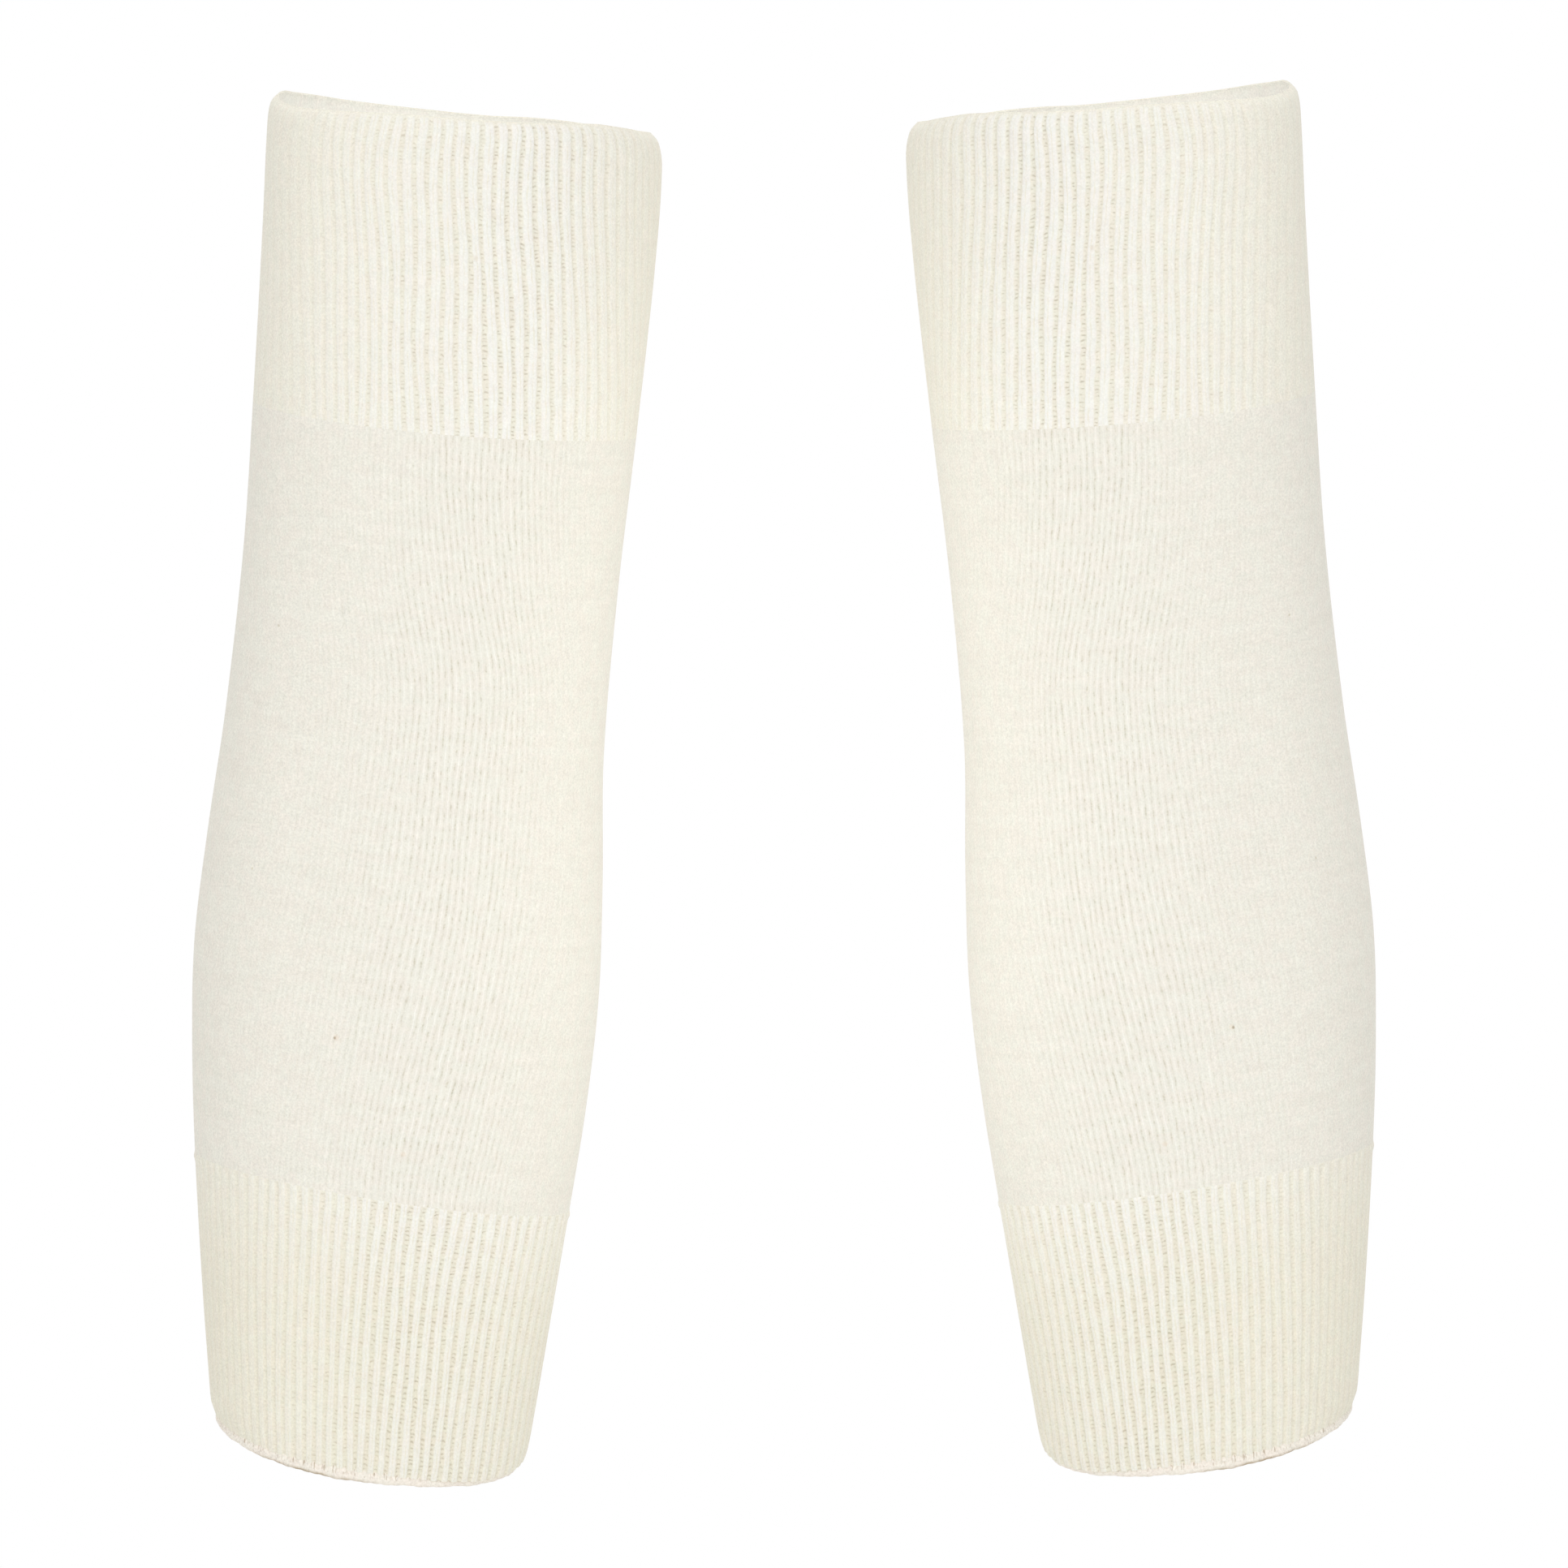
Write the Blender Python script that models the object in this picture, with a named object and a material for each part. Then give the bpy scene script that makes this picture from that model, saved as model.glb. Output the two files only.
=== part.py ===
# A pair of long knitted wrist warmers, each one filled out as on a forearm.
# Every warmer is a leaning tube of oval rings: a ribbed cuff at the top, a plain
# body, a second ribbed cuff and a rolled cast-on edge round the hem.
# Blender units are metres. The sizes below are millimetres, and MM turns them.

import math
from collections import namedtuple

import bmesh
import bpy
import numpy as np
from mathutils import Vector

MM = 0.001

# Lengths down one warmer, from the middle of its top rim
RIB_END = 67.1            # the upper ribbing ends
RIB_START = 234.6         # the lower ribbing begins
EDGE_START = 290.3        # the rolled edge begins
HEM = 292.5               # the lowest line of the edge, before its front drops
SEAM = 0.32               # clear space between two neighbouring pieces

# A quarter's drop is shared out by sideways² × facing, which peaks at 1 / this value
QUARTER_SHARE = 2.6

# Cloth
RIB_WALL = 2.1            # ribbing, from the crown of a rib to the inside
RIB_RELIEF = 0.85         # depth of the furrow between two ribs
PLAIN_WALL = 1.4          # plain knitting
EDGE_PROUD = 0.35         # the rolled edge stands out this far past the ribs
RIBS = 76                 # ribs all round one cuff
GATHER = 0.10             # the cloth is this much closer on the outer side, wider on the inner
INSIDE_COLUMNS = 38       # columns of the cuffs' plain inside
BODY_COLUMNS = 48
EDGE_COLUMNS = 57
SHARP_FROM = 40           # degrees; the crowns and furrows of the ribs are sharper

# The two warmers mirror each other, and the right-hand one lies a little higher
Side = namedtuple("Side", "name sign level")
SIDES = (Side("left", -1, -1.15), Side("right", 1, 1.15))

# One row for each ring of the tube, from the top rim to the hem:
#   down         distance below the middle of the top rim
#   out          middle of the ring, outwards from the middle of the pair
#   back         middle of the ring, backwards
#   half_width   half of what the ring measures across, seen from the front
#   depth_ratio  shorter radius of the oval over the longer one
#   turn         degrees by which the oval's flat front faces the other warmer
#   slope        rise of the ring towards its outer side
#   front_drop   how far the middle of the front hangs below the ring's plane
#   back_drop    the same at the middle of the back
#   outer_drop   extra drop of the front's outer quarter
#   inner_drop   extra drop of the front's inner quarter
Ring = namedtuple("Ring", "down out back half_width depth_ratio turn slope"
                          " front_drop back_drop outer_drop inner_drop")
RINGS = (
    Ring(0.0, 69.3, 0.0, 40.5, 0.74, 28, 0.107, 0.5, 1.8, 1.3, -1.4),
    Ring(2.2, 69.2, 0.0, 41.9, 0.74, 28, 0.108, 0.5, 1.7, 1.1, -1.2),
    Ring(7.3, 69.2, 0.0, 42.6, 0.74, 27, 0.110, 0.5, 1.4, 0.8, -0.9),
    Ring(29.0, 70.5, 0.0, 42.4, 0.74, 26, 0.112, 0.7, 0.7, 0.3, -0.3),
    Ring(67.1, 73.8, 0.4, 41.5, 0.75, 23, 0.109, 1.15, 0.4, 0.0, 0.0),
    Ring(100.0, 77.0, 0.9, 40.7, 0.77, 19, 0.120, 1.0, 0.2, 0.0, 0.0),
    Ring(136.0, 80.7, 1.6, 41.2, 0.78, 15, 0.134, 0.6, 0.0, 0.0, 0.0),
    Ring(163.0, 82.9, 2.2, 43.1, 0.79, 12, 0.143, 0.3, 0.0, 0.0, 0.0),
    Ring(188.0, 84.9, 2.4, 44.2, 0.80, 10, 0.152, 0.1, 0.0, 0.0, 0.0),
    Ring(212.0, 86.6, 1.8, 43.1, 0.80, 9, 0.162, -0.1, 0.0, 0.0, 0.0),
    Ring(234.6, 88.2, 0.8, 41.0, 0.79, 8, 0.169, -0.3, 0.0, 0.0, 0.0),
    Ring(264.0, 89.9, -0.6, 37.8, 0.78, 6, 0.160, 1.0, 0.0, 0.1, 0.7),
    Ring(281.0, 90.7, -1.2, 35.8, 0.78, 5, 0.150, 3.0, 0.0, 0.3, 1.8),
    Ring(288.6, 91.1, -1.4, 34.8, 0.78, 5, 0.147, 4.0, 0.0, 0.4, 2.3),
    Ring(292.5, 91.4, -1.5, 33.9, 0.78, 5, 0.145, 4.5, 0.0, 0.5, 2.5),
)

# One row for each loop of points round a wall, in order round the wall's section:
#   down    distance below the middle of the top rim
#   inset   depth under the outer face
#   ribbed  1 on an outer face where the furrows are cut at full depth, else 0
Loop = namedtuple("Loop", "down inset ribbed")

# Colours are linear, as a Principled BSDF takes them
Finish = namedtuple("Finish", "colour roughness")
RIB_KNIT = Finish((0.86, 0.83, 0.74), 0.92)
PLAIN_KNIT = Finish((0.85, 0.82, 0.73), 0.95)
ROLLED_EDGE = Finish((0.86, 0.80, 0.72), 0.90)


def ring_at(down):
    """The ring at a distance below the rim, on smooth curves through the table."""
    downs = [ring.down for ring in RINGS]
    place = min(max(down, downs[0]), downs[-1])
    row = min(max(int(np.searchsorted(downs, place)) - 1, 0), len(RINGS) - 2)
    span = downs[row + 1] - downs[row]
    part = (place - downs[row]) / span
    values = []
    for column in range(1, len(Ring._fields)):
        start, end = RINGS[row][column], RINGS[row + 1][column]
        leaving = steepness(row, column) * span
        arriving = steepness(row + 1, column) * span
        values.append(start * (1 + 2 * part) * (1 - part) ** 2
                      + leaving * part * (1 - part) ** 2
                      + end * part ** 2 * (3 - 2 * part)
                      - arriving * part ** 2 * (1 - part))
    return Ring(down, *values)


def steepness(row, column):
    """How fast a column of the table changes at one of its rows."""
    above, below = max(row - 1, 0), min(row + 1, len(RINGS) - 1)
    return ((RINGS[below][column] - RINGS[above][column])
            / (RINGS[below].down - RINGS[above].down))


def oval_angles(columns, depth_ratio):
    """Angles of the columns round an oval, a little closer together on its outer side."""
    fine = np.linspace(0.0, 2.0 * math.pi, 721)
    middle = (fine[1:] + fine[:-1]) / 2
    steps = np.hypot(np.sin(middle), depth_ratio * np.cos(middle))
    run = np.concatenate(([0.0], np.cumsum(steps)))
    share = np.arange(columns) / columns
    share -= GATHER / (2.0 * math.pi) * np.sin(2.0 * math.pi * share)
    return np.interp(share * run[-1], run, fine)


def wall_point(side, ring, angle, inset):
    """A point of the wall, at an angle round the ring and a depth under its outer face."""
    turn = math.radians(ring.turn)
    reach = math.hypot(math.cos(turn), ring.depth_ratio * math.sin(turn))
    long_radius = ring.half_width / reach
    short_radius = long_radius * ring.depth_ratio
    normal = Vector((math.cos(angle) / long_radius, math.sin(angle) / short_radius)).normalized()
    along = long_radius * math.cos(angle) - inset * normal.x
    across = short_radius * math.sin(angle) - inset * normal.y
    out = along * math.cos(turn) + across * math.sin(turn)
    back = across * math.cos(turn) - along * math.sin(turn)
    sideways = out / ring.half_width
    facing = back / math.hypot(short_radius * math.cos(turn), long_radius * math.sin(turn))
    drop = ring.back_drop * facing ** 2
    if facing < 0:
        quarter_drop = ring.outer_drop if out > 0 else ring.inner_drop
        drop = ring.front_drop * facing ** 2 - QUARTER_SHARE * quarter_drop * sideways ** 2 * facing
    height = side.level - ring.down + ring.slope * out - drop
    return Vector((side.sign * (ring.out + out), ring.back + back, height)) * MM


def add_loop(mesh, side, loop, columns):
    """One closed loop of points, with every second one sunk where the wall is ribbed."""
    ring = ring_at(loop.down)
    points = []
    for column, angle in enumerate(oval_angles(columns, ring.depth_ratio)):
        furrow = RIB_RELIEF * loop.ribbed * (column % 2)
        points.append(mesh.verts.new(wall_point(side, ring, angle, loop.inset + furrow)))
    return points


def join_loops(mesh, first, second):
    """Faces between two loops, of which one may have several times the other's points."""
    if len(first) < len(second):
        first, second = second, first
    share = len(first) // len(second)
    for column, corner in enumerate(second):
        here = column * share
        next_corner = second[(column + 1) % len(second)]
        fan = [first[(here + step) % len(first)] for step in range(share + 1)]
        if share == 1:
            mesh.faces.new((fan[0], fan[1], next_corner, corner))
            continue
        for step in range(share):
            mesh.faces.new((fan[step], fan[step + 1], corner if step < share / 2 else next_corner))
        mesh.faces.new((fan[math.ceil(share / 2)], next_corner, corner))


def ring_wall(name, side, outside, inside, outside_columns, inside_columns, material):
    """A closed wall round the tube: loops down its outer face, then up its inner one."""
    mesh = bmesh.new()
    loops = [add_loop(mesh, side, loop, outside_columns) for loop in outside]
    loops += [add_loop(mesh, side, loop, inside_columns) for loop in inside]
    for first, second in zip(loops, loops[1:] + loops[:1]):
        join_loops(mesh, first, second)
    bmesh.ops.recalc_face_normals(mesh, faces=mesh.faces)
    bmesh.ops.triangulate(mesh, faces=mesh.faces)
    data = bpy.data.meshes.new(name)
    mesh.to_mesh(data)
    mesh.free()
    data.shade_smooth()
    data.set_sharp_from_angle(angle=math.radians(SHARP_FROM))
    data.materials.append(material)
    part = bpy.data.objects.new(name, data)
    bpy.context.scene.collection.objects.link(part)


def rib_cuff(name, side, start, end, outer_steps, inner_steps, soft_rims, material):
    """Ribbing between two distances below the rim; a soft rim is rounded over."""
    outside = [Loop(down, 0.0, 1) for down in spaced(start, end, outer_steps)]
    inside = [Loop(down, RIB_WALL, 0) for down in spaced(end, start, inner_steps)]
    if soft_rims:
        rounding = RIB_WALL / 4
        outside[0] = Loop(start + rounding, 0.0, 1)
        outside.insert(0, Loop(start, rounding + RIB_RELIEF / 2, 0.5))
        inside[-1] = Loop(start + rounding, RIB_WALL, 0)
    ring_wall(name, side, outside, inside, 2 * RIBS, INSIDE_COLUMNS, material)


def plain_body(name, side, material):
    """The plain knitting between the two cuffs."""
    start, end = RIB_END + SEAM / 2, RIB_START - SEAM / 2
    even = np.linspace(0.0, 1.0, 11)
    outside = [Loop(down, 0.0, 0) for down in spaced(start, end, even)]
    inside = [Loop(down, PLAIN_WALL, 0) for down in spaced(end, start, even)]
    ring_wall(name, side, outside, inside, BODY_COLUMNS, BODY_COLUMNS, material)


def rolled_edge(name, side, material):
    """The cast-on edge: a bead rolled round the hem, a little proud of the ribs."""
    height = HEM - EDGE_START
    middle = EDGE_START + height / 2
    half_thickness = (RIB_WALL + EDGE_PROUD) / 2
    bead = []
    for corner in range(6):
        angle = math.radians(60 * corner + 30)
        inset = RIB_WALL / 2 - EDGE_PROUD / 2 - half_thickness * math.cos(angle)
        bead.append(Loop(middle - height / 2 * math.sin(angle), inset, 0))
    ring_wall(name, side, bead, [], EDGE_COLUMNS, EDGE_COLUMNS, material)


def spaced(start, end, parts):
    """Distances from start to end, at the given parts of the way."""
    return [start + (end - start) * part for part in parts]


def make_material(name, finish):
    material = bpy.data.materials.new(name)
    material.use_nodes = True
    shader = material.node_tree.nodes["Principled BSDF"]
    shader.inputs["Base Color"].default_value = (*finish.colour, 1.0)
    shader.inputs["Roughness"].default_value = finish.roughness
    shader.inputs["Metallic"].default_value = 0.0
    return material


def build_warmer(side, rib_knit, plain_knit, edge_yarn):
    rib_cuff(f"{side.name}_upper_cuff", side, 0.0, RIB_END - SEAM / 2,
             (0.0, 0.035, 0.11, 0.4, 0.7, 1.0), (0.0, 0.5, 0.89, 1.0), True, rib_knit)
    plain_body(f"{side.name}_body", side, plain_knit)
    rib_cuff(f"{side.name}_lower_cuff", side, RIB_START + SEAM / 2, EDGE_START - SEAM / 2,
             (0.0, 0.26, 0.52, 0.78, 0.93, 1.0), (0.0, 0.2, 0.55, 1.0), False, rib_knit)
    rolled_edge(f"{side.name}_lower_edge", side, edge_yarn)


def main():
    for thing in list(bpy.data.objects):
        bpy.data.objects.remove(thing)
    rib_knit = make_material("rib_knit", RIB_KNIT)
    plain_knit = make_material("plain_knit", PLAIN_KNIT)
    edge_yarn = make_material("rolled_edge", ROLLED_EDGE)
    for side in SIDES:
        build_warmer(side, rib_knit, plain_knit, edge_yarn)


main()
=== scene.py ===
import math

import bmesh
import bpy
import numpy as np
from mathutils import Matrix, Vector


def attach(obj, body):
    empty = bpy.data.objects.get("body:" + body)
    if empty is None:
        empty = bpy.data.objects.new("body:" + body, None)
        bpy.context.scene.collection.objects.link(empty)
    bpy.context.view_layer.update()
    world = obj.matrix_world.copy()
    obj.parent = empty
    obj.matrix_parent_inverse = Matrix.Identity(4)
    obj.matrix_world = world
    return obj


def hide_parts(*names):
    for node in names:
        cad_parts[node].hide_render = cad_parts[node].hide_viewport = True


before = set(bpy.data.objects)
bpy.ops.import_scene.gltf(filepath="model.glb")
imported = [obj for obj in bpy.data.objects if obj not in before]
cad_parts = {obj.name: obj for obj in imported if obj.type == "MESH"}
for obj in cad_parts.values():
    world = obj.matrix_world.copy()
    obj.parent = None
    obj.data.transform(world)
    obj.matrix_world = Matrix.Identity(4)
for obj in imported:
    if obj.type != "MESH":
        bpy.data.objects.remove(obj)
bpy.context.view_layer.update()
mm = 0.001

# The tube of one warmer, whose ribs, gather and rings are those of its solids
tube = {
    "ribs": 76,            # ribs all round a cuff; a rib is two wales wide, also in the plain body
    "course": 0.88,        # height of one row of stitches
    "girth": 248.0,        # about, to turn ribs into millimetres round the arm
    "gather": 0.10,        # the cloth is this much closer on the outer side, wider on the inner
    "quarterShare": 2.6,   # a quarter's drop is sideways squared by facing, at most 1 / this value
    "wall": 1.2,           # thickness of the knitting, from the outside of its crowns inwards
    "columns": ("down", "out", "back", "halfWidth", "depthRatio", "turn", "slope",
                "frontDrop", "backDrop", "outerDrop", "innerDrop"),
    "rings": (
        (0.0, 69.3, 0.0, 40.5, 0.74, 28, 0.107, 0.5, 1.8, 1.3, -1.4),
        (2.2, 69.2, 0.0, 41.9, 0.74, 28, 0.108, 0.5, 1.7, 1.1, -1.2),
        (7.3, 69.2, 0.0, 42.6, 0.74, 27, 0.110, 0.5, 1.4, 0.8, -0.9),
        (29.0, 70.5, 0.0, 42.4, 0.74, 26, 0.112, 0.7, 0.7, 0.3, -0.3),
        (67.1, 73.8, 0.4, 41.5, 0.75, 23, 0.109, 1.15, 0.4, 0.0, 0.0),
        (100.0, 77.0, 0.9, 40.7, 0.77, 19, 0.120, 1.0, 0.2, 0.0, 0.0),
        (136.0, 80.7, 1.6, 41.2, 0.78, 15, 0.134, 0.6, 0.0, 0.0, 0.0),
        (163.0, 82.9, 2.2, 43.1, 0.79, 12, 0.143, 0.3, 0.0, 0.0, 0.0),
        (188.0, 84.9, 2.4, 44.2, 0.80, 10, 0.152, 0.1, 0.0, 0.0, 0.0),
        (212.0, 86.6, 1.8, 43.1, 0.80, 9, 0.162, -0.1, 0.0, 0.0, 0.0),
        (234.6, 88.2, 0.8, 41.0, 0.79, 8, 0.169, -0.3, 0.0, 0.0, 0.0),
        (264.0, 89.9, -0.6, 37.8, 0.78, 6, 0.160, 1.0, 0.0, 0.1, 0.7),
        (281.0, 90.7, -1.2, 35.8, 0.78, 5, 0.150, 3.0, 0.0, 0.3, 1.8),
        (288.6, 91.1, -1.4, 34.8, 0.78, 5, 0.147, 4.0, 0.0, 0.4, 2.3),
        (292.5, 91.4, -1.5, 33.9, 0.78, 5, 0.145, 4.5, 0.0, 0.5, 2.5),
    ),
}
sides = (
    {"name": "left", "sign": -1, "level": -1.15},
    {"name": "right", "sign": 1, "level": 1.15},
)

# Soft troughs, and ridges where the depth is negative, listed for one warmer.
# Degrees go round the oval from its outer end; the front is negative and the back positive.
softFolds = (
    # down, degrees, half length, half width in degrees, depth, lean in degrees per mm
    (152.0, -52.0, 34.0, 13.0, 0.75, -0.10),
    (178.0, -92.0, 26.0, 16.0, -0.35, 0.08),
    (112.0, -120.0, 22.0, 14.0, 0.30, 0.12),
    (100.0, -38.0, 20.0, 12.0, 0.35, -0.15),
    (208.0, -62.0, 18.0, 18.0, 0.40, 0.20),
    (222.0, -128.0, 12.0, 15.0, 0.25, -0.10),
    (82.0, 62.0, 24.0, 15.0, 0.55, 0.12),
    (140.0, 104.0, 30.0, 16.0, 0.70, -0.10),
    (172.0, 58.0, 22.0, 13.0, -0.40, 0.10),
    (205.0, 128.0, 24.0, 15.0, 0.50, 0.14),
    (118.0, 150.0, 20.0, 12.0, -0.30, -0.08),
    (40.0, 96.0, 24.0, 12.0, 0.45, 0.06),
    (262.0, 84.0, 18.0, 16.0, 0.45, -0.12),
    (264.0, -70.0, 15.0, 14.0, 0.30, 0.10),
    (24.0, -30.0, 20.0, 10.0, 0.25, 0.05),
)

# The ribs and wales are pulled round the arm, to the inner side on the front
pulledRound = (
    # down, ribs
    (0.0, 0.0), (15.0, 0.24), (34.0, 1.1), (68.0, 2.75), (79.0, 3.2), (100.0, 4.95), (118.0, 6.85),
    (128.0, 7.4), (150.0, 7.7), (168.0, 7.7), (186.0, 7.3), (226.0, 6.0), (240.0, 6.0),
    (260.0, 6.0), (292.5, 5.9),
)

# On the front the ribs are this much closer than their mean, and on the back wider
frontGather = (
    # down, share
    (0.0, 0.05), (34.0, 0.035), (67.0, 0.02), (150.0, 0.05), (234.6, 0.085), (292.5, 0.09),
)

# Where the ribs and wales wander to one side
wanders = (
    # down, degrees, half length, half width in degrees, shift in ribs
    (76.0, -30.0, 30.0, 18.0, -0.65),
    (20.0, -22.0, 60.0, 26.0, -0.85),
    (62.0, -145.0, 24.0, 32.0, -0.50),
    (268.0, -135.0, 30.0, 30.0, 0.40),
    (44.0, -98.0, 14.0, 15.0, -0.15),
    (50.0, -68.0, 12.0, 13.0, 0.25),
    (22.0, -84.0, 9.0, 10.0, 0.10),
    (12.0, -40.0, 12.0, 16.0, 0.25),
    (250.0, -95.0, 12.0, 20.0, 0.14),
    (272.0, -120.0, 10.0, 18.0, -0.12),
    (262.0, -58.0, 14.0, 14.0, 0.12),
    (44.0, 84.0, 14.0, 18.0, 0.30),
    (130.0, 100.0, 30.0, 30.0, -0.35),
    (255.0, 110.0, 14.0, 18.0, 0.18),
)

# Each rib strays a little by itself, in waves along the arm that are out of step with its neighbours'
strays = (
    # whole turns round the arm, length in mm, start, shift in ribs
    (9, 74.0, 0.0, 0.05),
    (-14, 47.0, 0.3, 0.04),
    (23, 39.0, 0.7, 0.03),
    (33, 21.0, 0.1, 0.015),
)

# How clear the stitches are: they are felted together on the outer side of the arm, and a little on
# the inner side. In the rib cuffs, low clearness also gives the furrow's colour, painted shade on these
# sides
clearness = (
    # sideways from -1 at the inner side to 1 at the outer, upper cuff, body, lower cuff
    (-1.00, 0.15, 0.12, 0.40),
    (-0.75, 0.55, 0.28, 0.78),
    (-0.50, 0.92, 0.82, 0.95),
    (-0.25, 1.00, 1.00, 1.00),
    (0.00, 0.84, 0.85, 0.88),
    (0.30, 0.73, 0.42, 0.66),
    (0.62, 0.40, 0.22, 0.45),
    (0.80, 0.18, 0.16, 0.26),
    (1.00, 0.15, 0.14, 0.25),
)


def smooth(value):
    part = np.clip(value, 0.0, 1.0)
    return part * part * (3.0 - 2.0 * part)


def curvesThrough(rows, places):
    # each column of a table at some places along its first column, on smooth curves
    table = np.array(rows)
    number = np.arange(len(table))
    above = np.maximum(number - 1, 0)
    below = np.minimum(number + 1, len(table) - 1)
    steepness = (table[below] - table[above]) / (table[below, 0] - table[above, 0])[:, None]
    place = np.clip(places, table[0, 0], table[-1, 0])
    row = np.clip(np.searchsorted(table[:, 0], place) - 1, 0, len(table) - 2)
    span = (table[row + 1, 0] - table[row, 0])[:, None]
    part = (place - table[row, 0])[:, None] / span
    return (table[row] * (1 + 2 * part) * (1 - part) ** 2
            + steepness[row] * span * part * (1 - part) ** 2
            + table[row + 1] * part ** 2 * (3 - 2 * part)
            - steepness[row + 1] * span * part ** 2 * (1 - part))


def ringsAt(downs):
    values = curvesThrough(tube["rings"], downs)
    rings = {name: values[:, [number]] for number, name in enumerate(tube["columns"])}
    rings["down"] = np.asarray(downs, float)[:, None]
    return rings


def ovalAngles(rings, shares):
    # angle round each ring's oval for shares of its girth
    fine = np.linspace(0.0, 2.0 * math.pi, 721)
    middle = (fine[1:] + fine[:-1]) / 2
    angles = np.empty(shares.shape)
    front = curvesThrough(frontGather, rings["down"].ravel())[:, [1]]
    turned = 2.0 * math.pi * shares
    closer = (tube["gather"] * np.sin(turned) + front * np.cos(turned)) / (2.0 * math.pi)
    for row, ratio in enumerate(rings["depthRatio"][:, 0]):
        steps = np.hypot(np.sin(middle), ratio * np.cos(middle))
        run = np.concatenate(([0.0], np.cumsum(steps)))
        wrapped = (shares[row] - closer[row]) % 1.0
        angles[row] = np.interp(wrapped * run[-1], run, fine)
    return angles


def bumpsAt(table, downs, degrees, valueColumn):
    # sum of the soft bumps of a table, which lean if it has a sixth column
    total = np.zeros(degrees.shape)
    for line in table:
        down, middle, halfLength, halfWidth = line[:4]
        lean = line[5] if len(line) > 5 else 0.0
        along = downs - down
        around = (degrees - middle - lean * along + 180.0) % 360.0 - 180.0
        total += line[valueColumn] * np.exp(-(along / halfLength) ** 2 - (around / halfWidth) ** 2)
    return total


def straysAt(downs, shares):
    total = np.zeros(shares.shape)
    for turns, length, begin, shift in strays:
        total += shift * np.sin(2.0 * math.pi * (turns * shares + downs / length + begin))
    return total


def layOut(downs, shares, clearColumn):
    # where each point of a sheet lies round the tube, how clear its stitches are, and its folds
    rings = ringsAt(downs)
    pulled = shares - curvesThrough(pulledRound, downs)[:, [1]] / tube["ribs"]
    degrees = np.degrees(ovalAngles(rings, pulled))
    shift = (bumpsAt(wanders, rings["down"], degrees, 4) + straysAt(rings["down"], shares)) / tube["ribs"]
    angles = ovalAngles(rings, pulled + shift)
    turn = np.radians(rings["turn"])
    reach = np.hypot(np.cos(turn), rings["depthRatio"] * np.sin(turn))
    longRadius = rings["halfWidth"] / reach
    shortRadius = longRadius * rings["depthRatio"]
    sideways = (longRadius * np.cos(angles) * np.cos(turn)
                + shortRadius * np.sin(angles) * np.sin(turn)) / rings["halfWidth"]
    return {
        "rings": rings, "along": rings["down"][:, 0],
        "angles": angles, "turn": turn, "long": longRadius, "short": shortRadius,
        "sideways": sideways,
        "clear": curvesThrough(clearness, sideways.ravel())[:, clearColumn].reshape(shares.shape),
        "fold": bumpsAt(softFolds, rings["down"], np.degrees(angles), 4),
    }


def tubePoints(side, form, insets, lifts):
    # points of the wall in metres, at depths under the outer face
    rings, angles, turn = form["rings"], form["angles"], form["turn"]
    normalAlong = np.cos(angles) / form["long"]
    normalAcross = np.sin(angles) / form["short"]
    size = np.hypot(normalAlong, normalAcross)
    along = form["long"] * np.cos(angles) - insets * normalAlong / size
    across = form["short"] * np.sin(angles) - insets * normalAcross / size
    out = along * np.cos(turn) + across * np.sin(turn)
    back = across * np.cos(turn) - along * np.sin(turn)
    sideways = out / rings["halfWidth"]
    facing = back / np.hypot(form["short"] * np.cos(turn), form["long"] * np.sin(turn))
    quarter = np.where(out > 0, rings["outerDrop"], rings["innerDrop"])
    frontDrop = (rings["frontDrop"] * facing ** 2
                 - tube["quarterShare"] * quarter * sideways ** 2 * facing)
    drop = np.where(facing < 0, frontDrop, rings["backDrop"] * facing ** 2)
    height = side["level"] - rings["down"] + rings["slope"] * out - drop + lifts
    place = np.stack((side["sign"] * (rings["out"] + out), rings["back"] + back, height), axis=-1)
    return place * mm


def sheetPiece(name, side, form, shares, insets, lifts, materials, thin=None):
    # a flat grid of stitches, rolled into its tube and welded down its side
    rows, columns = shares.shape
    points = tubePoints(side, form, insets, lifts)
    sheet = bmesh.new()
    stitchMap = sheet.loops.layers.uv.new("stitches")
    clear = sheet.verts.layers.float.new("clear")
    group = sheet.verts.layers.deform.verify()
    bmesh.ops.create_grid(sheet, x_segments=columns - 1, y_segments=rows - 1, size=0.5, calc_uvs=True)
    for face in sheet.faces:
        for corner in face.loops:
            flat = corner[stitchMap].uv
            column, row = round(flat.x * (columns - 1)), round(flat.y * (rows - 1))
            flat.x = shares[row, column] * tube["ribs"]
            flat.y = form["along"][row] / tube["course"]
    for vert in sheet.verts:
        column = round((vert.co.x + 0.5) * (columns - 1))
        row = round((vert.co.y + 0.5) * (rows - 1))
        vert.co = points[row, column]
        vert[clear] = form["clear"][row, column]
        vert[group][0] = 1.0 if thin is None else float(thin[row])
    bmesh.ops.remove_doubles(sheet, verts=sheet.verts, dist=0.005 * mm)
    bmesh.ops.recalc_face_normals(sheet, faces=sheet.faces)
    for edge in sheet.edges:
        if edge.is_boundary:
            edge.smooth = False
    data = bpy.data.meshes.new(name)
    sheet.to_mesh(data)
    sheet.free()
    for material in materials:
        data.materials.append(material)
    data.shade_smooth()
    piece = bpy.data.objects.new(name, data)
    piece.vertex_groups.new(name="thickness")
    bpy.context.scene.collection.objects.link(piece)
    return piece


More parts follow.
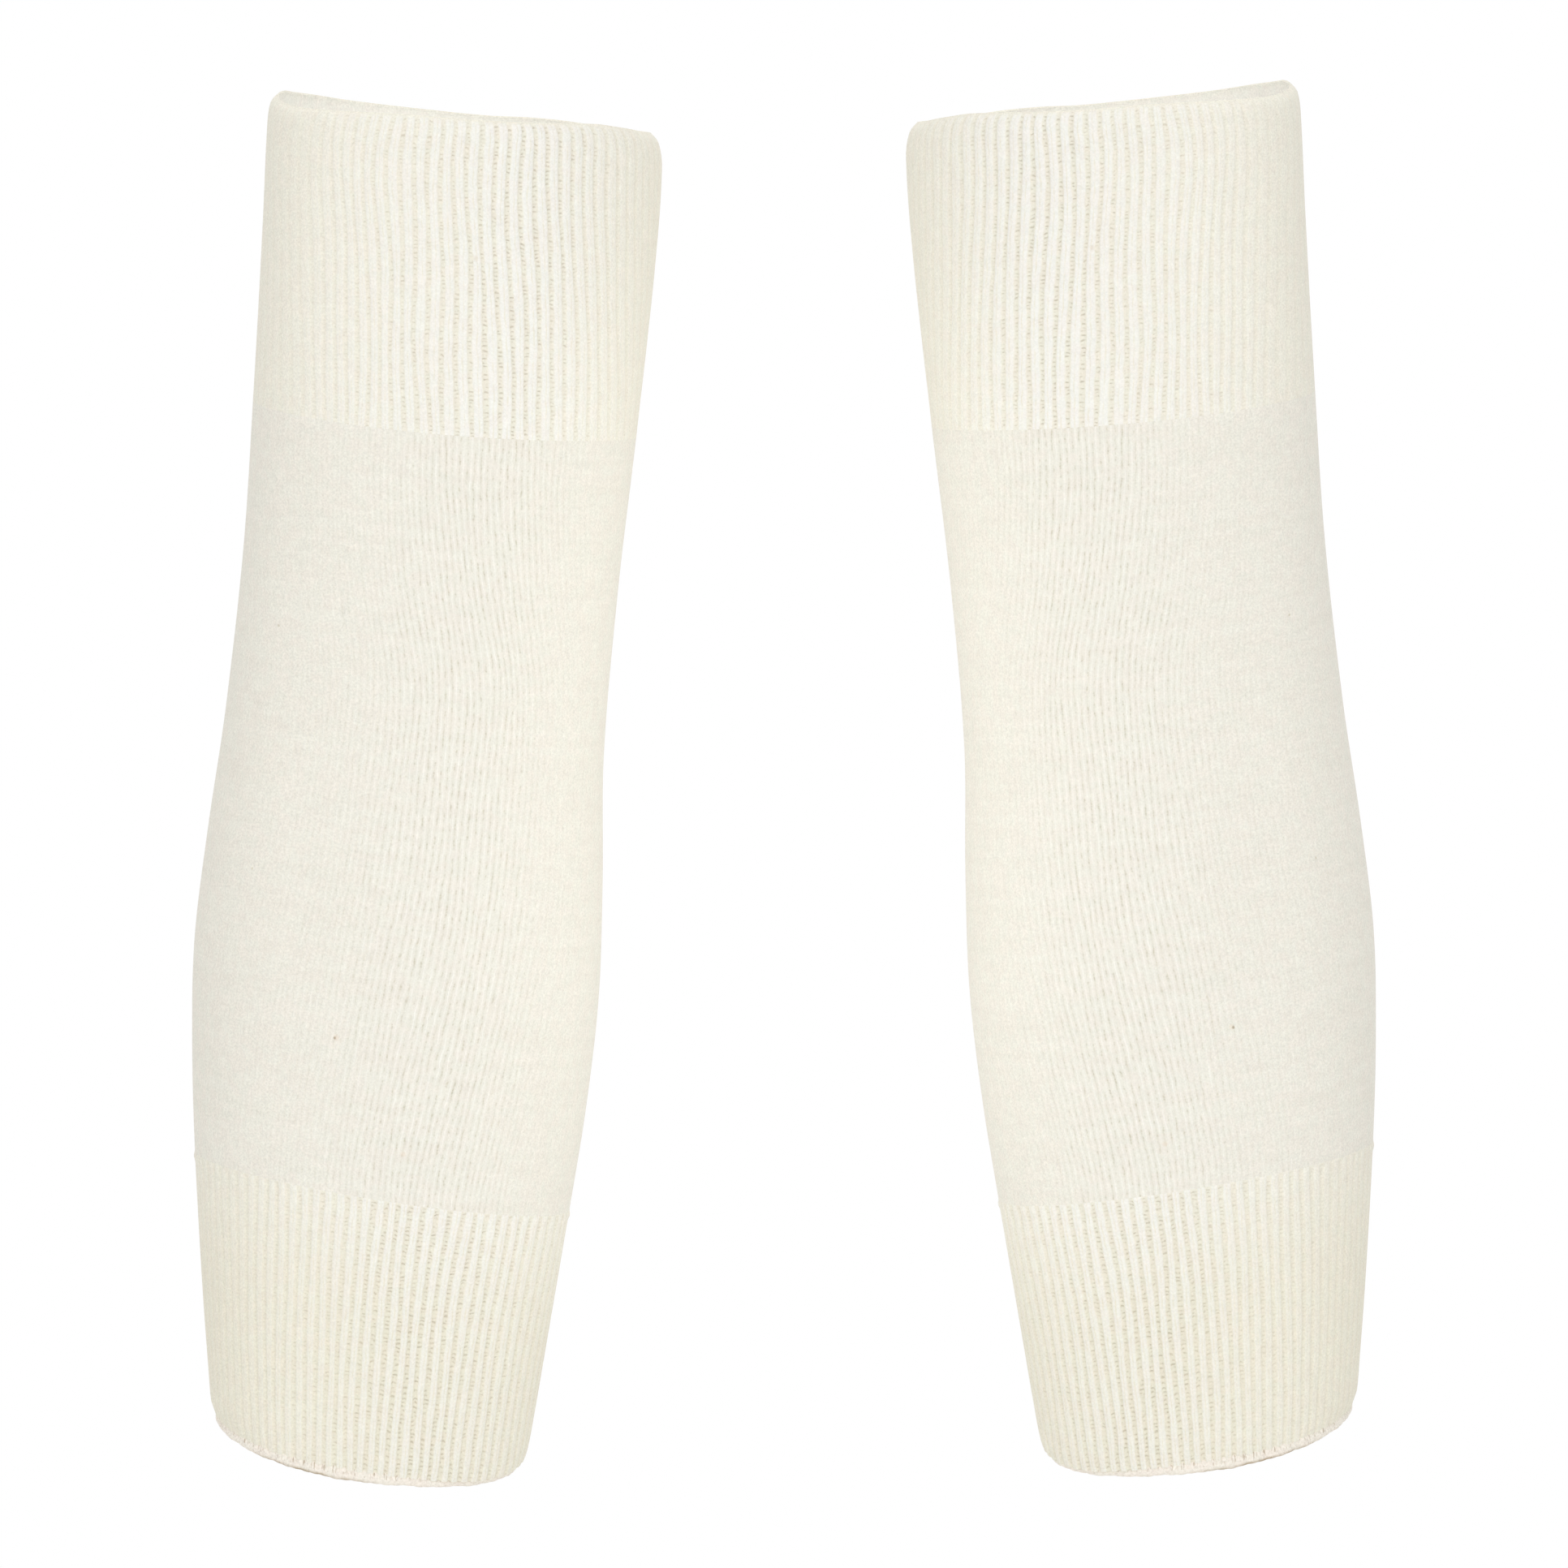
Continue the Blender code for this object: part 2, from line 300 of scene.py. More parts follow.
def thicken(piece, thickness):
    wall = piece.modifiers.new("knitting thickness", "SOLIDIFY")
    wall.thickness = thickness * mm
    wall.offset = -1.0
    wall.vertex_group = "thickness"
    wall.thickness_vertex_group = 0.35      # the share of it that is left at the rim
    wall.use_rim = True
    wall.material_offset = 1      # the inner face has the piece's second material


def declare(piece, node):
    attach(piece, "root")
    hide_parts(node)


# Materials

def colour(code):
    # a hex sRGB colour, turned to linear
    parts = [int(code[start:start + 2], 16) / 255 for start in (1, 3, 5)]
    linear = [part / 12.92 if part <= 0.04045 else ((part + 0.055) / 1.055) ** 2.4 for part in parts]
    return (*linear, 1.0)


def addNode(tree, kind, settings=None, inputs=None):
    # a node with its settings; an input is a number, a colour, a socket or another node,
    # and its key is the socket's name or its place among those in use
    node = tree.nodes.new(kind)
    for key, value in (settings or {}).items():
        setattr(node, key, value)
    used = [socket for socket in node.inputs if socket.enabled]
    for key, value in (inputs or {}).items():
        socket = used[key] if isinstance(key, int) else next(one for one in used if one.name == key)
        if isinstance(value, bpy.types.Node):
            value = next(one for one in value.outputs if one.enabled)
        if isinstance(value, bpy.types.NodeSocket):
            tree.links.new(value, socket)
        else:
            socket.default_value = value
    return node


woolFinish = {
    "grainSize": 0.44,      # fuzz, drawn coarser than its fibres, which are too fine to show
    "grainHeight": 0.09,
    "grainTone": (0.095, 0.045),    # how much the fuzz darkens and lightens, felted and clear
    "cloudSize": 2.8,       # felted places, thicker and thinner
    "cloudTone": 0.020,
    "blotchSize": 3.2,      # faint warm and cool blotches of the fleece
    "blotchTone": 0.30,
    "warm": "#FEFAF4",
    "cool": "#FAFFF8",
}

add = {"operation": "ADD"}
multiply = {"operation": "MULTIPLY"}
multiplyAdd = {"operation": "MULTIPLY_ADD"}
softStep = {"interpolation_type": "SMOOTHSTEP"}
clamped = {"use_clamp": True}
wholeTurn = 2 * math.pi


def newMaterial(name):
    material = bpy.data.materials.new(name)
    material.use_nodes = True
    material.node_tree.nodes.clear()
    return material, material.node_tree


def stitchPlaces(tree):
    # ribs across and courses down, and how clear the stitches are
    stitchMap = addNode(tree, "ShaderNodeUVMap", {"uv_map": "stitches"})
    places = addNode(tree, "ShaderNodeSeparateXYZ", None, {"Vector": stitchMap})
    clear = addNode(tree, "ShaderNodeAttribute", {"attribute_name": "clear"})
    return places.outputs["X"], places.outputs["Y"], clear.outputs["Fac"]


def unevenKnit(tree, ribs, courses, across, down, low, high, start=0.3, end=0.7):
    # from low to high in uneven patches, so many ribs wide and so many courses high
    stretched = addNode(tree, "ShaderNodeCombineXYZ", None, {
        "X": addNode(tree, "ShaderNodeMath", {"operation": "DIVIDE"}, {0: ribs, 1: across}),
        "Y": addNode(tree, "ShaderNodeMath", {"operation": "DIVIDE"}, {0: courses, 1: down})})
    noise = addNode(tree, "ShaderNodeTexNoise", None, {
        "Vector": stretched, "Scale": 1.0, "Detail": 1.0, "Roughness": 0.55})
    return addNode(tree, "ShaderNodeMapRange", softStep, {
        "Value": noise, "From Min": start, "From Max": end, "To Min": low, "To Max": high})


# Bits of chaff and darker fleece left in the wool, at the same stitches of both warmers
chaff = {
    # rib, course, radius in mm, colour, how strong
    "rib": (
        (60.1, 33.3, 0.9, "#DDD0BE", 0.45),
    ),
    "plain": (
        (68.25, 228.0, 0.50, "#94856C", 0.95),
        (68.12, 227.8, 1.0, "#E6D6C2", 0.45),
        (1.4, 129.0, 0.45, "#C9C1AC", 0.70),
        (1.3, 190.3, 0.45, "#D0C5AE", 0.60),
        (61.7, 254.3, 0.9, "#E4D5C2", 0.45),
    ),
}


def addChaff(tree, ribs, courses, tone, bits):
    ribWidth = tube["girth"] / tube["ribs"]
    place = addNode(tree, "ShaderNodeCombineXYZ", None, {
        "X": addNode(tree, "ShaderNodeMath", multiply, {0: ribs, 1: ribWidth}),
        "Y": addNode(tree, "ShaderNodeMath", multiply, {0: courses, 1: tube["course"]})})
    for rib, course, radius, code, strength in bits:
        middle = (rib * ribWidth, course * tube["course"], 0.0)
        distance = addNode(tree, "ShaderNodeVectorMath", {"operation": "DISTANCE"}, {0: place, 1: middle})
        spot = addNode(tree, "ShaderNodeMapRange", softStep, {
            "Value": distance, "From Min": radius, "From Max": radius * 0.2, "To Max": strength})
        tone = addNode(tree, "ShaderNodeMix", {"data_type": "RGBA"}, {
            "Factor": spot, "A": tone, "B": colour(code)})
    return tone


def finishWool(material, tree, tone, height, look):
    # the fuzz, clouds and blotches that every knitted piece has, then a dry matt shader
    place = addNode(tree, "ShaderNodeTexCoord").outputs["Object"]
    grain, cloud, blotch = (
        addNode(tree, "ShaderNodeTexNoise", None, {
            "Vector": place, "Scale": 1 / (size * mm), "Detail": detail, "Roughness": 0.6})
        for size, detail in ((woolFinish["grainSize"], 2.0), (woolFinish["cloudSize"], 3.0),
                             (woolFinish["blotchSize"], 2.0)))
    tint = addNode(tree, "ShaderNodeMix", {"data_type": "RGBA"}, {
        "Factor": addNode(tree, "ShaderNodeMapRange", softStep, {
            "Value": blotch, "From Min": 0.38, "From Max": 0.62}),
        "A": colour(woolFinish["warm"]), "B": colour(woolFinish["cool"])})
    tinted = addNode(tree, "ShaderNodeMix", {"data_type": "RGBA", "blend_type": "MULTIPLY"}, {
        "Factor": woolFinish["blotchTone"], "A": tone, "B": tint})
    clear = addNode(tree, "ShaderNodeAttribute", {"attribute_name": "clear"}).outputs["Fac"]
    depth = addNode(tree, "ShaderNodeMapRange", None, {
        "Value": clear, "To Min": woolFinish["grainTone"][0], "To Max": woolFinish["grainTone"][1]})
    fuzzy = addNode(tree, "ShaderNodeMapRange", {"clamp": False}, {
        "Value": grain, "From Min": 0.3, "From Max": 0.7, "To Min": -1.0, "To Max": 1.0})
    fuzzy = addNode(tree, "ShaderNodeMath", multiplyAdd, {0: fuzzy, 1: depth, 2: 1.0})
    clouded = addNode(tree, "ShaderNodeMapRange", {"clamp": False}, {
        "Value": cloud, "From Min": 0.3, "From Max": 0.7,
        "To Min": 1.0 - woolFinish["cloudTone"], "To Max": 1.0 + woolFinish["cloudTone"]})
    shaded = addNode(tree, "ShaderNodeVectorMath", {"operation": "SCALE"}, {
        "Vector": tinted,
        "Scale": addNode(tree, "ShaderNodeMath", multiply, {0: fuzzy, 1: clouded})})
    fuzz = addNode(tree, "ShaderNodeMath", multiplyAdd, {
        0: grain, 1: woolFinish["grainHeight"], 2: height})
    bump = addNode(tree, "ShaderNodeBump", None, {"Strength": 1.0, "Distance": mm, "Height": fuzz})
    shader = addNode(tree, "ShaderNodeBsdfPrincipled", None, {
        "Base Color": shaded, "Roughness": look["roughness"], "IOR": 1.5,
        "Specular IOR Level": look["specular"], "Sheen Weight": look["sheen"],
        "Sheen Roughness": 0.5, "Normal": bump})
    addNode(tree, "ShaderNodeOutputMaterial", None, {"Surface": shader})
    return material


ribFinish = {
    "crown": "#F3F1ED",      # the knit wales, which catch the light
    "furrow": "#EDE9DD",     # the purl wales between them, darkened with painted shade
    "rung": "#D8D1C1",       # the gaps between the purl bars, painted shade
    "feltedShade": 1.0,           # where felted, how far it is from the crown's colour to the furrow's: painted shade on the sides
    "crownLine": 0.85,       # how much of the furrow's colour lies along the middle of a crown, as painted shade in the dip there
    "strands": 0.17,         # how much of it lies on the slanting strands of a crown, as painted shade
    "stray": 0.04,           # the edges of a furrow stray by this share of a rib
    "furrowFrom": 0.24,      # where a crown starts to turn down, as a share of a rib from its middle
    "sharpTo": 0.32,         # where it has turned down, on its sharp side
    "softTo": 0.40,          # and on its soft side
    "wider": 0.03,           # the lower cuff's furrows are wider by this
    "rungSlant": 4.0,        # how far the rungs lean, in radians of their own spacing for each rib
    "rungHeight": 0.12,
    "lower": "#FCFBF7",      # the lower cuff is a little darker and warmer by this
    "strandHeight": 0.06,
    "roughness": 0.92, "specular": 0.15, "sheen": 0.05,
}


def ribKnit():
    # Fine wool in one-by-one rib, steamed flat: broad pale crowns of slanting strands,
    # and narrow furrows where the backs of the stitches lie across like rungs.
    # The furrows, the rungs and the strands are darkened with painted shade
    material, tree = newMaterial("rib knit wool")
    ribs, courses, clear = stitchPlaces(tree)
    stray = unevenKnit(tree, ribs, courses, 0.5, 4.0, -ribFinish["stray"], ribFinish["stray"])
    strayed = addNode(tree, "ShaderNodeMath", add, {0: ribs, 1: stray})
    narrow = addNode(tree, "ShaderNodeMath", {"operation": "PINGPONG"}, {0: strayed, 1: 0.5})
    # the upper cuff ends before course 80, and the lower one starts after course 262
    phase = addNode(tree, "ShaderNodeMath", add, {
        0: narrow, 1: addNode(tree, "ShaderNodeMapRange", None, {
            "Value": courses, "From Min": 80.0, "From Max": 262.0,
            "To Min": 0.0, "To Max": ribFinish["wider"]})})
    fromFurrow = addNode(tree, "ShaderNodeMath", {"operation": "SUBTRACT"}, {
        0: addNode(tree, "ShaderNodeMath", {"operation": "WRAP"}, {0: strayed, 1: 1.0, 2: 0.0}), 1: 0.5})
    # a crown ends sharply on the one side of a furrow and softly on the other, so the furrow's painted
    # shade has a sharp edge on one side, like a cast shadow
    turnedDown = addNode(tree, "ShaderNodeMapRange", None, {
        "Value": fromFurrow, "From Min": -0.2, "From Max": 0.2,
        "To Min": ribFinish["softTo"], "To Max": ribFinish["sharpTo"]})
    furrow = addNode(tree, "ShaderNodeMapRange", softStep, {
        "Value": phase, "From Min": ribFinish["furrowFrom"], "From Max": turnedDown})

    # one rung for each course, unevenly spaced and leaning one way or the other; its dots are painted
    # shade in the gaps
    sway = unevenKnit(tree, ribs, courses, 0.8, 2.6, -1.6, 1.6)
    turns = addNode(tree, "ShaderNodeMath", multiplyAdd, {0: courses, 1: wholeTurn, 2: sway})
    slant = unevenKnit(tree, ribs, courses, 0.7, 7.0, -ribFinish["rungSlant"], ribFinish["rungSlant"])
    across = addNode(tree, "ShaderNodeMath", multiplyAdd, {0: fromFurrow, 1: slant, 2: turns})
    rung = addNode(tree, "ShaderNodeMapRange", softStep, {
        "Value": addNode(tree, "ShaderNodeMath", {"operation": "SINE"}, {0: across}),
        "From Min": 0.0, "From Max": 0.95})
    dots = addNode(tree, "ShaderNodeMath", multiply, {
        0: rung, 1: unevenKnit(tree, ribs, courses, 0.34, 0.8, 0.05, 1.1, 0.36, 0.64)})
    dots = addNode(tree, "ShaderNodeMath", multiply, {
        0: dots, 1: addNode(tree, "ShaderNodeMapRange", softStep, {
            "Value": phase, "From Min": 0.31, "From Max": 0.43, "To Max": 0.9})})
    dots = addNode(tree, "ShaderNodeMath", {**multiply, **clamped}, {0: dots, 1: clear})

    # painted shade on the two slanting strands of each knit stitch, and in the dip between them
    leaning = addNode(tree, "ShaderNodeMath", multiplyAdd, {0: narrow, 1: wholeTurn * 2.0, 2: turns})
    strand = addNode(tree, "ShaderNodeMath", {"operation": "SINE"}, {0: leaning})
    shade = addNode(tree, "ShaderNodeMapRange", None, {
        "Value": strand, "From Min": -1.0, "To Max": ribFinish["strands"]})
    shade = addNode(tree, "ShaderNodeMath", multiply, {
        0: shade, 1: unevenKnit(tree, ribs, courses, 0.4, 1.6, 0.0, 1.3)})
    line = addNode(tree, "ShaderNodeMapRange", softStep, {
        "Value": narrow, "From Min": 0.01, "From Max": 0.08,
        "To Min": ribFinish["crownLine"], "To Max": 0.0})
    shade = addNode(tree, "ShaderNodeMath", multiplyAdd, {
        0: line, 1: unevenKnit(tree, ribs, courses, 0.6, 3.0, 0.2, 1.3), 2: shade})
    # where the stitches are felted, the rib takes the furrow's colour: painted shade on the inner and
    # outer sides
    depth = addNode(tree, "ShaderNodeMix", {"data_type": "FLOAT"}, {
        "Factor": clear, "A": ribFinish["feltedShade"],
        "B": addNode(tree, "ShaderNodeMath", {**add, **clamped}, {0: furrow, 1: shade})})
    tone = addNode(tree, "ShaderNodeMix", {"data_type": "RGBA"}, {
        "Factor": depth, "A": colour(ribFinish["crown"]), "B": colour(ribFinish["furrow"])})
    # the rungs' colour: painted shade in the gaps between the purl bars
    tone = addNode(tree, "ShaderNodeMix", {"data_type": "RGBA"}, {
        "Factor": dots, "A": tone, "B": colour(ribFinish["rung"])})
    tone = addNode(tree, "ShaderNodeMix", {"data_type": "RGBA", "blend_type": "MULTIPLY"}, {
        "Factor": addNode(tree, "ShaderNodeMapRange", softStep, {
            "Value": courses, "From Min": 255.0, "From Max": 300.0}),
        "A": tone, "B": colour(ribFinish["lower"])})
    tone = addChaff(tree, ribs, courses, tone, chaff["rib"])

    raised = addNode(tree, "ShaderNodeMath", multiply, {0: strand, 1: ribFinish["strandHeight"] / 2})
    low = addNode(tree, "ShaderNodeMath", multiply, {0: dots, 1: -ribFinish["rungHeight"]})
    height = addNode(tree, "ShaderNodeMix", {"data_type": "FLOAT"}, {
        "Factor": furrow, "A": raised, "B": low})
    height = addNode(tree, "ShaderNodeMath", multiply, {0: height, 1: clear})
    return finishWool(material, tree, tone, height, ribFinish)


plainFinish = {
    "strand": "#F7F4EE",     # the strands that catch the light
    "gap": "#CFCAB9",        # the dark slots between two wales, a painted shade
    "shaded": 0.30,          # how far the cloth as a whole is from the one to the other
    "chains": 0.20,          # how much lighter the line along the middle of a wale is, as a painted highlight on its raised strands
    "groove": 0.18,          # how much darker the line between two wales is, as painted shade
    "slots": 0.46,           # how much darker the slots in that line are, as painted shade
    "bands": 0.05,           # slower bands of tighter and looser rows
    "stray": 0.035,          # the wales stray by this share of a rib
    "slotHeight": 0.10,
    "chainHeight": 0.04,
    "roughness": 0.95, "specular": 0.12, "sheen": 0.06,
}


def plainKnit():
    # The same wool knitted plain and lightly felted: each wale is a thin pale chain, with
    # small dark slots beside it where the fuzz has left the stitches open.
    # The pale chains are a painted highlight, and the slots and the lines between wales painted shade
    material, tree = newMaterial("plain knit wool")
    ribs, courses, clear = stitchPlaces(tree)
    stray = unevenKnit(tree, ribs, courses, 0.6, 3.5, -plainFinish["stray"], plainFinish["stray"])
    strayed = addNode(tree, "ShaderNodeMath", add, {0: ribs, 1: stray})
    phase = addNode(tree, "ShaderNodeMath", {"operation": "PINGPONG"}, {0: strayed, 1: 0.25})
    # painted highlight along the middle of each wale
    chain = addNode(tree, "ShaderNodeMapRange", softStep, {
        "Value": phase, "From Min": 0.015, "From Max": 0.095,
        "To Min": -plainFinish["chains"], "To Max": 0.0})
    chain = addNode(tree, "ShaderNodeMath", multiply, {
        0: chain, 1: unevenKnit(tree, ribs, courses, 0.5, 9.0, 0.35, 1.4)})
    groove = addNode(tree, "ShaderNodeMapRange", softStep, {
        "Value": phase, "From Min": 0.14, "From Max": 0.235})

    # the slots come once a course, and the fuzz closes most of them
    sway = unevenKnit(tree, ribs, courses, 0.4, 1.8, -2.8, 2.8)
    turns = addNode(tree, "ShaderNodeMath", multiplyAdd, {0: courses, 1: wholeTurn, 2: sway})
    slot = addNode(tree, "ShaderNodeMapRange", softStep, {
        "Value": addNode(tree, "ShaderNodeMath", {"operation": "SINE"}, {0: turns}),
        "From Min": -0.6, "From Max": 0.9, "To Min": 0.45, "To Max": 1.0})
    slot = addNode(tree, "ShaderNodeMath", multiply, {
        0: slot, 1: unevenKnit(tree, ribs, courses, 0.30, 1.7, 0.0, plainFinish["slots"], 0.42, 0.68)})
    parted = unevenKnit(tree, ribs, courses, 0.6, 8.0, 0.0, plainFinish["groove"], 0.36, 0.64)
    # painted shade in the grooves and slots
    dark = addNode(tree, "ShaderNodeMath", multiply, {
        0: groove, 1: addNode(tree, "ShaderNodeMath", add, {0: slot, 1: parted})})
    gap = addNode(tree, "ShaderNodeMath", add, {0: chain, 1: dark})
    bands = unevenKnit(tree, ribs, courses, 16.0, 2.5, 0.0, plainFinish["bands"])
    gap = addNode(tree, "ShaderNodeMath", multiplyAdd, {0: gap, 1: clear, 2: bands})
    gap = addNode(tree, "ShaderNodeMath", {**add, **clamped}, {0: gap, 1: plainFinish["shaded"]})
    tone = addNode(tree, "ShaderNodeMix", {"data_type": "RGBA"}, {
        "Factor": gap, "A": colour(plainFinish["strand"]), "B": colour(plainFinish["gap"])})
    tone = addChaff(tree, ribs, courses, tone, chaff["plain"])

    raised = addNode(tree, "ShaderNodeMath", multiply, {
        0: chain, 1: -plainFinish["chainHeight"] / plainFinish["chains"]})
    height = addNode(tree, "ShaderNodeMath", multiplyAdd, {
        0: dark, 1: -plainFinish["slotHeight"], 2: raised})
    height = addNode(tree, "ShaderNodeMath", multiply, {0: height, 1: clear})
    return finishWool(material, tree, tone, height, plainFinish)


insideFinish = {
    "face": "#EFEDE8",
    "furrowHeight": 0.12,
    "roughness": 0.95, "specular": 0.12, "sheen": 0.05,
}


def insideKnit():
    # The inner face of the knitting, pressed flat: faint furrows and no open slots
    material, tree = newMaterial("inner face wool")
    ribs = stitchPlaces(tree)[0]
    phase = addNode(tree, "ShaderNodeMath", {"operation": "PINGPONG"}, {0: ribs, 1: 0.5})
    height = addNode(tree, "ShaderNodeMath", multiply, {0: phase, 1: insideFinish["furrowHeight"]})
    return finishWool(material, tree, colour(insideFinish["face"]), height, insideFinish)


edgeFinish = {
    "yarn": "#F7F0E7",
    # the pits' colour is painted shade
    "pitShade": "#B7A68F",
    "loops": 0.12,         # how much of the pits' colour lies between the loops, as painted shade
    "topLine": 1.2,        # the courses round the roll to where it meets the ribs
    "bottomLine": 8.0,     # and to its lowest line
    "under": 1.0,          # how much of the pits' colour lies on its underside, as painted shade
    "tuckedAt": 68.0,      # the rib at which that painted shade is strongest
    "elsewhere": 0.12,     # the share of that painted shade everywhere else
    "loopHeight": 0.14,
    "twistHeight": 0.08,
    "roughness": 0.90, "specular": 0.15, "sheen": 0.05,
}


def rolledEdge():
    # The cast-on edge: the yarn's loops lie along the hem as a soft roll, a little pinker
    # where the wool is thickest, with small pits where each rib meets it.
    # The pits, the gaps between the loops and the underside are darkened with painted shade
    material, tree = newMaterial("rolled edge wool")
    ribs, around = stitchPlaces(tree)[:2]
    loops = unevenKnit(tree, ribs, around, 0.35, 1.0, 0.0, 1.0, 0.35, 0.75)
    betweenRibs = addNode(tree, "ShaderNodeMapRange", softStep, {
        "Value": addNode(tree, "ShaderNodeMath", {"operation": "PINGPONG"}, {0: ribs, 1: 0.5}),
        "From Min": 0.22, "From Max": 0.46, "To Min": 0.35})
    # the roll is about 10 courses round, counted from its outermost line up over its top
    top = addNode(tree, "ShaderNodeMath", {"operation": "COMPARE"}, {
        0: around, 1: edgeFinish["topLine"], 2: 1.3})
    # painted shade in the pits where the ribs meet the roll
    pitShade = addNode(tree, "ShaderNodeMath", multiply, {0: top, 1: betweenRibs})
    pitShade = addNode(tree, "ShaderNodeMath", multiply, {
        0: pitShade, 1: unevenKnit(tree, ribs, around, 0.17, 1.6, -0.1, 0.75, 0.45, 0.70)})
    nearBottom = addNode(tree, "ShaderNodeMath", {"operation": "PINGPONG"}, {
        0: around, 1: edgeFinish["bottomLine"]})
    under = addNode(tree, "ShaderNodeMapRange", softStep, {
        "Value": nearBottom, "From Min": 5.5, "From Max": 6.8, "To Max": edgeFinish["under"]})
    # the painted shade is strongest where it is tucked under, on the outer part of the front
    nearTuck = addNode(tree, "ShaderNodeMath", {"operation": "PINGPONG"}, {
        0: ribs, 1: edgeFinish["tuckedAt"]})
    tucked = addNode(tree, "ShaderNodeMapRange", softStep, {
        "Value": nearTuck, "From Min": edgeFinish["tuckedAt"] - 8.0,
        "From Max": edgeFinish["tuckedAt"] - 2.0, "To Min": edgeFinish["elsewhere"]})
    under = addNode(tree, "ShaderNodeMath", multiply, {0: under, 1: tucked})
    under = addNode(tree, "ShaderNodeMath", multiply, {
        0: under, 1: unevenKnit(tree, ribs, around, 1.2, 30.0, 0.5, 1.1)})
    pitShade = addNode(tree, "ShaderNodeMath", {**add, **clamped}, {0: pitShade, 1: under})
    pitShade = addNode(tree, "ShaderNodeMath", {**multiplyAdd, **clamped}, {
        0: loops, 1: edgeFinish["loops"], 2: pitShade})
    tone = addNode(tree, "ShaderNodeMix", {"data_type": "RGBA"}, {
        "Factor": pitShade, "A": colour(edgeFinish["yarn"]), "B": colour(edgeFinish["pitShade"])})
    twist = addNode(tree, "ShaderNodeMath", multiplyAdd, {
        0: ribs, 1: wholeTurn * 2, 2: addNode(tree, "ShaderNodeMath", multiply, {0: around, 1: 2.2})})
    twist = addNode(tree, "ShaderNodeMath", multiply, {
        0: addNode(tree, "ShaderNodeMath", {"operation": "SINE"}, {0: twist}),
        1: edgeFinish["twistHeight"] / 2})
    height = addNode(tree, "ShaderNodeMath", multiplyAdd, {
        0: loops, 1: -edgeFinish["loopHeight"], 2: twist})
    return finishWool(material, tree, tone, height, edgeFinish)


# Pieces

ribColumns = (0.0, 0.17, 0.30, 0.385, 0.5, 0.615, 0.70, 0.83)    # of one rib, from its crown


def columnShares(rows, even):
    # shares of the girth for each row's columns; even is 1 where they are evenly spaced
    ribs = tube["ribs"]
    uneven = np.array([(rib + place) / ribs for rib in range(ribs) for place in ribColumns] + [1.0])
    regular = np.linspace(0.0, 1.0, len(uneven))
    even = np.broadcast_to(np.asarray(even, float), (rows,))[:, None]
    return uneven * (1.0 - even) + regular * even


def ribPhase(shares):
    # distance from the nearest crown, from 0 to half a rib
    place = shares * tube["ribs"]
    return np.abs(place - np.round(place))


cuff = {
    "relief": 0.34,        # depth of the furrow where the ribs are clearest
    "furrowFrom": 0.25,    # where a crown ends, as a share of a rib from its middle
    "furrowRun": 0.18,     # and how far its side runs down from there
    "crownRound": 0.04,    # how much a crown falls away towards its sides
    "crownEdge": 0.30,     # where it has fallen by that
}


def ribInsets(form, shares, fade):
    phase = ribPhase(shares)
    section = cuff["relief"] * smooth((phase - cuff["furrowFrom"]) / cuff["furrowRun"])
    section += cuff["crownRound"] * (phase / cuff["crownEdge"]) ** 2
    section *= form["clear"]
    return section * fade[:, None] + form["fold"]


upperCuff = {
    "end": 67.1,           # distance below the rim
    "rows": 44,
    "flat": (0.246, 0.0671),
    "rim": (0.0, 0.25, 0.6, 1.2, 2.0),    # rows that round the rim
    "rimInset": 0.30,      # the rim is drawn in by this
    "rimThins": 2.5,       # the cloth thins towards the rim over this much
    "waveReach": 25.0,     # how far down the rim's waves are felt
}

# The upper rim is a little wavy at the back and round its inner end
rimWaves = (
    # sideways, drop
    (-1.0, 0.75), (-0.95, 0.65), (-0.85, 0.5), (-0.74, 0.3), (-0.53, -0.35), (-0.32, -0.35),
    (-0.11, 0.2), (0.21, 0.5), (0.63, 0.7), (0.85, 0.3), (0.93, 0.1), (1.0, -0.4),
)


def makeUpperCuff(side, materials):
    end = upperCuff["end"]
    downs = np.concatenate((upperCuff["rim"], np.linspace(3.4, end - 1.6, upperCuff["rows"]),
                            (end - 0.8, end)))
    shares = columnShares(len(downs), 0.0)
    form = layOut(downs, shares, 1)
    form["clear"] *= smooth((downs - 0.1) / 0.8)[:, None]      # the rim is bound off plain
    fade = np.minimum(0.15 + 0.85 * smooth(downs / 2.2), smooth((end - downs) / 2.2))
    insets = ribInsets(form, shares, fade)
    insets += (upperCuff["rimInset"] * np.exp(-(downs / 0.55) ** 2))[:, None]
    waves = curvesThrough(rimWaves, form["sideways"].ravel())[:, 1].reshape(shares.shape)
    behind = smooth(0.5 + np.sin(form["angles"]) + smooth((-form["sideways"] - 0.6) / 0.25))
    lifts = -waves * behind * np.exp(-(downs / upperCuff["waveReach"]) ** 2)[:, None]
    thin = smooth(downs / upperCuff["rimThins"])
    piece = sheetPiece(f"{side['name']}_upper_cuff_knit", side, form, shares, insets, lifts,
                       materials, thin)
    thicken(piece, tube["wall"])
    declare(piece, f"{side['name']}_upper_cuff")
    return piece


plainBody = {
    "start": upperCuff["end"], "end": 234.6,
    "rows": 76,
    "flat": (0.240, 0.1675),
    "waleRelief": 0.10,    # depth of the line between two wales
}


